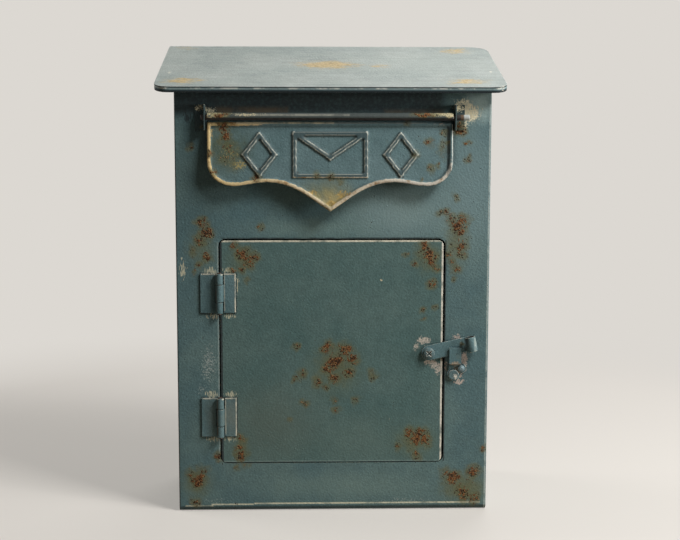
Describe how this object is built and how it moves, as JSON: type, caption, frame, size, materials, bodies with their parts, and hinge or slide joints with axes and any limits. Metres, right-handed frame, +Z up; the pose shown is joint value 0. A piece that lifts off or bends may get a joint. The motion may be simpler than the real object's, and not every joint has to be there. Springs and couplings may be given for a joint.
{
  "type": "letter box",
  "caption": "Weathered sheet-metal letter box with a sloped roof, a hanging letter flap and a hinged front door held by a turning latch bar.",
  "frame": {"origin": "centre of the bottom of the bounding box, on the surface that the box stands on", "axes": "+X to the right seen from the front, -Y out of the front face, +Z up"},
  "size_m": [0.276, 0.131, 0.3798],
  "materials": {
    "teal_paint": "satin, worn and rust spotted",
    "faded_teal_paint": "satin, faded",
    "worn_teal_paint": "worn to the primer at its edges",
    "bare_steel": "bare",
    "tarnished_steel": "tarnished"
  },
  "bodies": {
    "cabinet": {"body_shell": "teal_paint", "bottom_panel": "teal_paint", "back_panel": "teal_paint", "roof": "faded_teal_paint", "flap_rod": "tarnished_steel", "flap_bracket_left": "worn_teal_paint", "flap_bracket_right": "worn_teal_paint", "upper_hinge_frame_leaf": "worn_teal_paint", "upper_hinge_pin": "tarnished_steel", "lower_hinge_frame_leaf": "worn_teal_paint", "lower_hinge_pin": "tarnished_steel", "keeper": "worn_teal_paint", "keeper_painted_rivet": "worn_teal_paint", "keeper_bare_rivet": "bare_steel"},
    "door": {"door": "teal_paint", "upper_hinge_door_leaf": "worn_teal_paint", "lower_hinge_door_leaf": "worn_teal_paint", "latch_screw": "bare_steel", "latch_washer": "tarnished_steel", "latch_nut": "tarnished_steel"},
    "latch": {"latch_bar": "worn_teal_paint"},
    "flap": {"flap": "teal_paint"}
  },
  "joints": [
    {"name": "door_hinge", "type": "hinge", "parent": "cabinet", "child": "door", "pos_m": [-0.089, -0.05575, 0.13085], "axis": [0, 0, -1], "range_deg": [0, 180]},
    {"name": "latch_pivot", "type": "hinge", "parent": "door", "child": "latch", "pos_m": [0.0786, -0.0525, 0.1305], "axis": [0, -1, 0], "range_deg": [-17.5, 280]},
    {"name": "flap_hinge", "type": "hinge", "parent": "cabinet", "child": "flap", "pos_m": [-0.0008, -0.0593, 0.3185], "axis": [-1, 0, 0], "range_deg": [-5, 155]}
  ]
}
